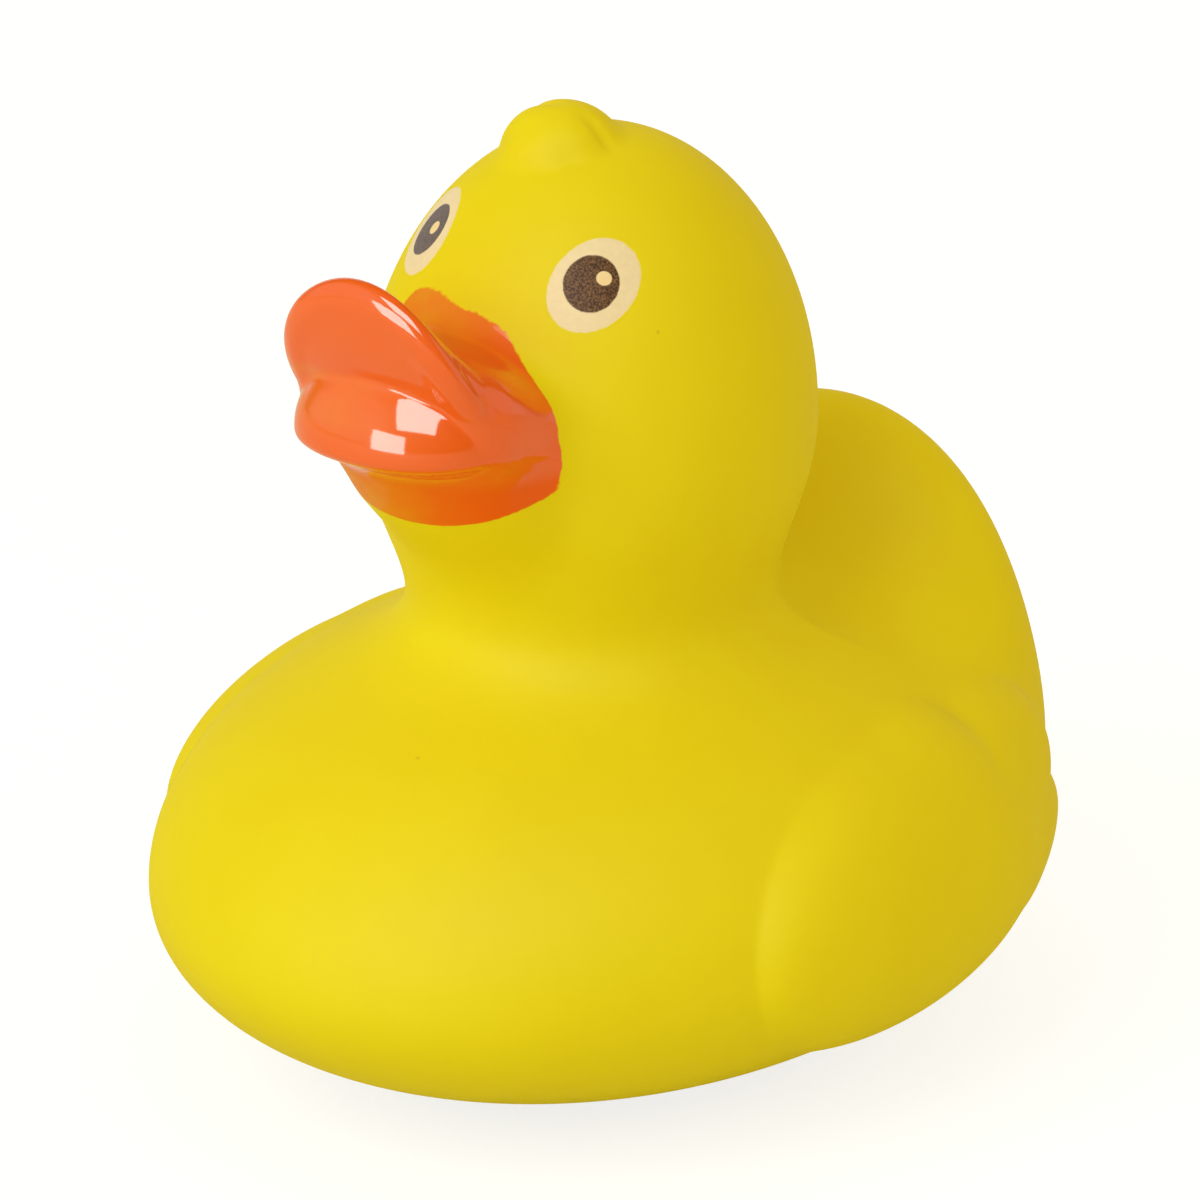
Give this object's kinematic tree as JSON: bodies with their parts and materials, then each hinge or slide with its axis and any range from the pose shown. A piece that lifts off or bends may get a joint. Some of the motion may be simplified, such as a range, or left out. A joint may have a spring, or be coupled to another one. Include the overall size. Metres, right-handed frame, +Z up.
{
  "type": "toy duck",
  "caption": "Soft vinyl bath duck with a turned-up painted bill, printed eyes, a small crest, wings raised on its flanks and an upright tail; it stands on a small flat foot.",
  "frame": {"origin": "on the floor under the middle of the duck's box", "axes": "+Z up, the bill points to -Y, the duck's left side is +X"},
  "size_m": [0.065, 0.078, 0.0748],
  "materials": {
    "vinyl": "soft yellow vinyl with a satin skin, glossy orange paint on the bill and satin print on the eyes"
  },
  "bodies": {
    "root": {"duck": "vinyl"}
  },
  "joints": []
}
